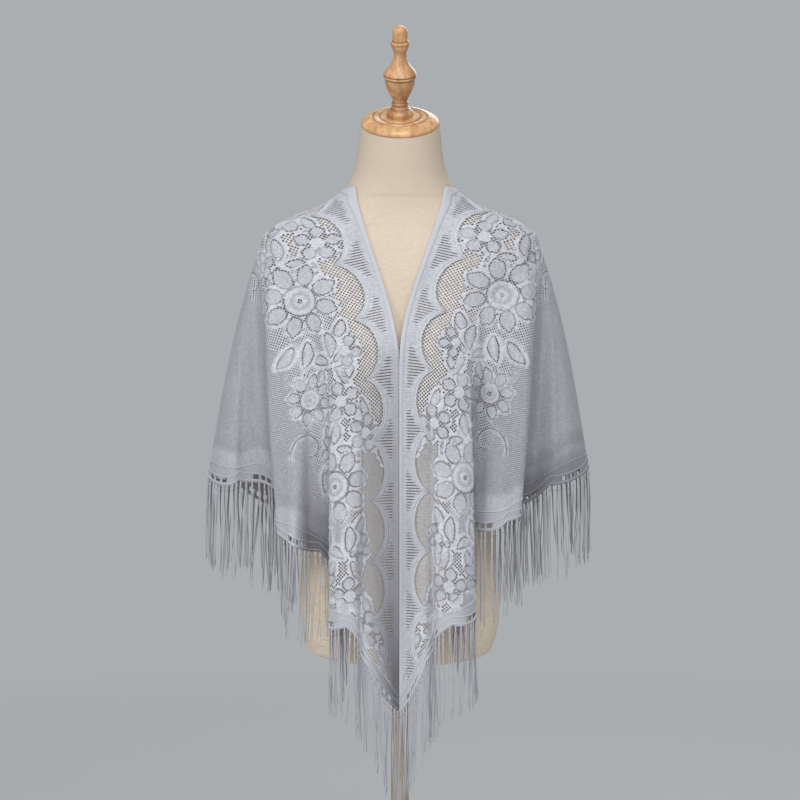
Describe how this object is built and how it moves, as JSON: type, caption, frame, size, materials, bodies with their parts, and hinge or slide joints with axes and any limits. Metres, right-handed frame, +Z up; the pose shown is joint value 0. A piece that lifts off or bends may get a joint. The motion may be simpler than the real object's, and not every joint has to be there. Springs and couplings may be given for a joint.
{
  "type": "lace shawl on a dress form",
  "caption": "Triangular fringed lace shawl, draped open-fronted over a limbless dress form on a turned stand.",
  "frame": {"origin": "centre of the stand's flat underside, on the floor", "axes": "+Z up along the pole, -Y towards the wearer's front, +X towards the wearer's left"},
  "size_m": [0.5242, 0.34, 1.4523],
  "materials": {
    "lace_yarn": "soft knitted lace",
    "linen": "smooth plain-woven linen cover",
    "turned_wood": "satin varnish"
  },
  "bodies": {
    "root": {"cloth_front_left": "lace_yarn", "cloth_front_right": "lace_yarn", "cloth_side_left": "lace_yarn", "cloth_side_right": "lace_yarn", "cloth_back_left": "lace_yarn", "cloth_back_right": "lace_yarn", "fringe_front_left": "lace_yarn", "fringe_front_right": "lace_yarn", "fringe_side_left": "lace_yarn", "fringe_side_right": "lace_yarn", "fringe_back_left": "lace_yarn", "fringe_back_right": "lace_yarn", "torso": "linen", "neck_cap": "turned_wood", "finial": "turned_wood", "pole": "turned_wood", "stand_foot": "turned_wood"}
  },
  "joints": []
}
